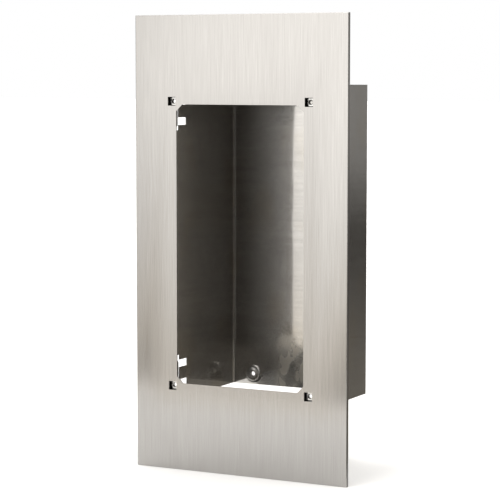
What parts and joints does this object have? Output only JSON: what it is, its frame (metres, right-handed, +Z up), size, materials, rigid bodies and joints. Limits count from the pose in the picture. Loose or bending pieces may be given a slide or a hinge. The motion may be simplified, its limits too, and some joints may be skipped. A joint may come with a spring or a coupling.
{
  "type": "standpipe cabinet",
  "caption": "Recessed wall cabinet: a brushed trim plate with a chamfered rectangular opening and corner screw windows on an open-bottomed sheet-metal box.",
  "frame": {"origin": "middle of the trim plate, in the plane of the finished wall, where the plate's folded rim bears", "axes": "+Z up along the plate's long side, +Y into the wall, +X to the right as seen from the front"},
  "size_m": [0.314, 0.1798, 0.61],
  "materials": {
    "face_plate": "vertical satin brush, stainless",
    "box": "cold-rolled mill finish, stainless",
    "bracket": "dark phosphate",
    "fastener": "bright zinc plate"
  },
  "bodies": {
    "root": {"face_plate": "face_plate", "box_wrap": "box", "top_cap": "box", "nut_bracket_tl": "bracket", "nut_bracket_tr": "bracket", "nut_bracket_bl": "bracket", "nut_bracket_br": "bracket", "weld_nut_tl": "fastener", "weld_nut_tr": "fastener", "weld_nut_bl": "fastener", "weld_nut_br": "fastener", "hole_washer_tl": "box", "hole_washer_tr": "box", "hole_washer_bl": "box", "hole_washer_br": "box", "stud_left_lower": "fastener", "stud_left_middle": "fastener", "stud_left_upper": "fastener", "stud_right_lower": "fastener", "stud_right_middle": "fastener", "stud_right_upper": "fastener", "stud_top_left": "fastener", "stud_top_right": "fastener", "stud_washer_left_lower": "fastener", "stud_washer_left_middle": "fastener", "stud_washer_left_upper": "fastener", "stud_washer_right_lower": "fastener", "stud_washer_right_middle": "fastener", "stud_washer_right_upper": "fastener", "stud_washer_top_left": "fastener", "stud_washer_top_right": "fastener", "stud_nut_left_lower": "fastener", "stud_nut_left_middle": "fastener", "stud_nut_left_upper": "fastener", "stud_nut_right_lower": "fastener", "stud_nut_right_middle": "fastener", "stud_nut_right_upper": "fastener", "stud_nut_top_left": "fastener", "stud_nut_top_right": "fastener"}
  },
  "joints": []
}
